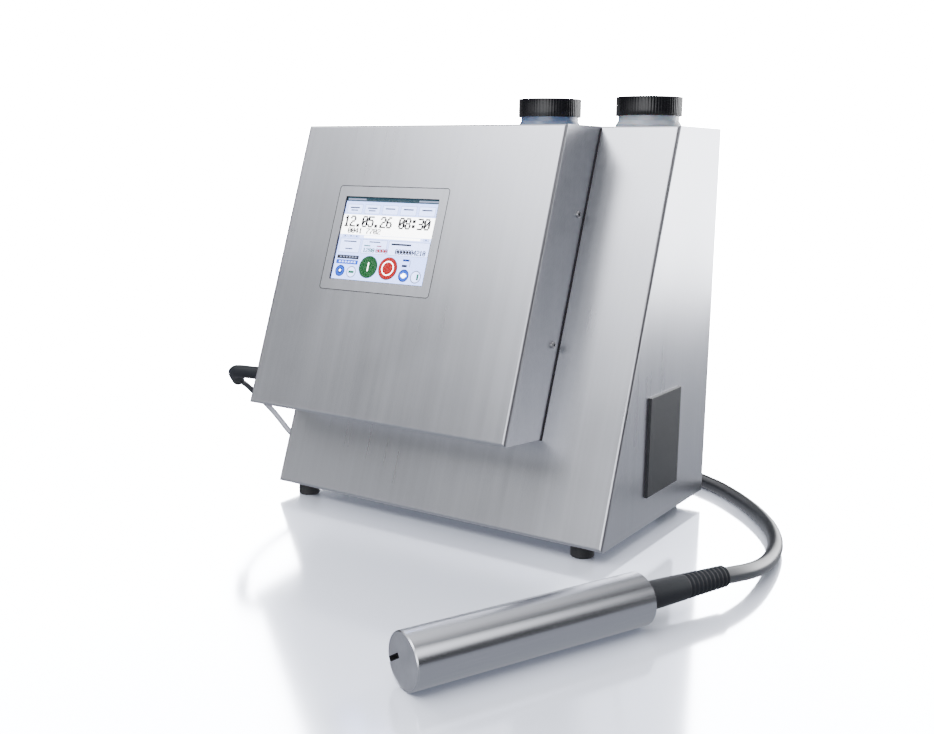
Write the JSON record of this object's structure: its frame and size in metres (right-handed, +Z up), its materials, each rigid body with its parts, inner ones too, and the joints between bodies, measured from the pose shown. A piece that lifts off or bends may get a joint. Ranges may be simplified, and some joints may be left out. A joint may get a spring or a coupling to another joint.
{
  "type": "date code inkjet printer",
  "caption": "Continuous inkjet date coder: brushed steel cabinet with sloped touch screen housing, screw-capped tanks on top and a cylindrical print head on an umbilical.",
  "frame": {"origin": "on the standing surface, under the middle of the bounding box of everything but the free cords", "axes": "+X to the right seen from the screen side, +Y to the rear, +Z up; the screen faces -Y"},
  "size_m": [0.59, 0.7363, 0.415],
  "materials": {
    "black_rubber": "matt moulded rubber",
    "cap_black": "glossy with fine ribs round the side",
    "circuit_board": "solder mask",
    "clear_tank_plastic": "translucent natural plastic",
    "coil_black": "moulded",
    "electrode_white": "ceramic",
    "fan_black": "matt black",
    "filter_foam": "open cell foam",
    "filter_white": "plain",
    "head_alloy": "machined",
    "hose_clear": "soft hose",
    "hydraulic_steel": "machined",
    "ink_tank_plastic": "translucent, stained by the ink",
    "liner_white": "foam liner",
    "link_jacket": "smooth black jacket",
    "nickel": "nickel plated",
    "screen_panel": "lit screen",
    "screw_steel": "bright stainless",
    "stainless": "vertical brushed grain, satin",
    "tie_black": "hook and loop strap",
    "touch_glass": "clear, slightly glossy",
    "umbilical_jacket": "smooth black jacket, faint sheen",
    "vent_grey": "matt charcoal",
    "zinc_steel": "plain zinc plated sheet"
  },
  "bodies": {
    "cabinet": {"base_tray": "zinc_steel", "board_standoffs": "screw_steel", "cabinet_shell": "stainless", "cable_grommet": "black_rubber", "charge_electrode": "electrode_white", "coil_tie": "tie_black", "control_board": "circuit_board", "deflector_plates": "electrode_white", "display_bezel": "stainless", "display_housing": "stainless", "fan_frame": "fan_black", "head_boot": "black_rubber", "head_chassis": "head_alloy", "housing_frame": "stainless", "housing_screws": "screw_steel", "ink_filter": "filter_white", "ink_hoses": "hose_clear", "ink_tank": "ink_tank_plastic", "lcd_module": "screen_panel", "link_cable": "link_jacket", "link_gland": "fan_black", "link_relief": "black_rubber", "main_board": "circuit_board", "mains_inlet": "fan_black", "network_socket": "nickel", "nozzle_body": "head_alloy", "panel_screws": "screw_steel", "partition_panel": "zinc_steel", "power_supply": "zinc_steel", "pulse_damper": "hydraulic_steel", "pump_body": "hydraulic_steel", "pump_motor": "zinc_steel", "rear_panel": "stainless", "rubber_feet": "black_rubber", "screen_carrier": "zinc_steel", "service_tank": "clear_tank_plastic", "signal_sockets": "nickel", "solvent_tank": "clear_tank_plastic", "tank_shelf": "zinc_steel", "touch_glass": "touch_glass", "umbilical": "umbilical_jacket", "umbilical_coil": "umbilical_jacket", "umbilical_gland": "fan_black", "umbilical_lead": "umbilical_jacket", "umbilical_rear_boot": "black_rubber", "valve_block": "hydraulic_steel", "valve_coils": "coil_black"},
    "ink_cap_lift": {"ink_cap_liner": "liner_white"},
    "ink_cap_turn": {"ink_cap": "cap_black"},
    "solvent_cap_lift": {"solvent_cap_liner": "liner_white"},
    "solvent_cap_turn": {"solvent_cap": "cap_black"},
    "fan": {"fan_rotor": "fan_black"},
    "pump": {"pump_rotor": "hydraulic_steel"},
    "power_rocker": {"mains_rocker": "fan_black"},
    "fuse_holder": {"fuse_drawer": "fan_black"},
    "catcher": {"gutter": "head_alloy"},
    "head_cover": {"head_tube": "stainless", "head_cap": "stainless"},
    "air_inlet": {"vent_cover": "vent_grey", "filter_mat": "filter_foam"}
  },
  "joints": [
    {"name": "ink_cap_rise", "type": "slide", "parent": "cabinet", "child": "ink_cap_lift", "axis": [0, 0, 1], "range_m": [0, 0.014]},
    {"name": "ink_cap_unscrew", "type": "hinge", "parent": "ink_cap_lift", "child": "ink_cap_turn", "pos_m": [0.00096, 0.17964, 0.406], "axis": [0, 0, 1], "range_deg": [0, 1260]},
    {"name": "solvent_cap_rise", "type": "slide", "parent": "cabinet", "child": "solvent_cap_lift", "axis": [0, 0, 1], "range_m": [0, 0.014]},
    {"name": "solvent_cap_unscrew", "type": "hinge", "parent": "solvent_cap_lift", "child": "solvent_cap_turn", "pos_m": [0.11196, 0.17964, 0.406], "axis": [0, 0, 1], "range_deg": [0, 1260]},
    {"name": "fan_spin", "type": "hinge", "parent": "cabinet", "child": "fan", "pos_m": [0.14896, 0.11914, 0.0898], "axis": [1, 0, 0], "continuous": true},
    {"name": "pump_spin", "type": "hinge", "parent": "cabinet", "child": "pump", "pos_m": [0.09096, 0.16964, 0.0754], "axis": [0, 0, 1], "continuous": true},
    {"name": "rocker_tilt", "type": "hinge", "parent": "cabinet", "child": "power_rocker", "pos_m": [-0.15504, 0.22764, 0.091], "axis": [1, 0, 0], "range_deg": [0, 16]},
    {"name": "fuse_drawer_pull", "type": "slide", "parent": "cabinet", "child": "fuse_holder", "axis": [0, 1, 0], "range_m": [0, 0.01]},
    {"name": "catcher_seal", "type": "slide", "parent": "cabinet", "child": "catcher", "axis": [0.4098, 0.9122, 0], "range_m": [0, 0.059]},
    {"name": "head_cover_pull", "type": "slide", "parent": "cabinet", "child": "head_cover", "axis": [-0.4098, -0.9122, 0], "range_m": [0, 0.16]},
    {"name": "vent_cover_pull", "type": "slide", "parent": "cabinet", "child": "air_inlet", "axis": [1, 0, 0], "range_m": [0, 0.025]}
  ],
  "couplings": [
    {"joint": "ink_cap_unscrew", "follows": "ink_cap_rise", "rad_per_m": 1570.8},
    {"joint": "solvent_cap_unscrew", "follows": "solvent_cap_rise", "rad_per_m": 1570.8}
  ]
}
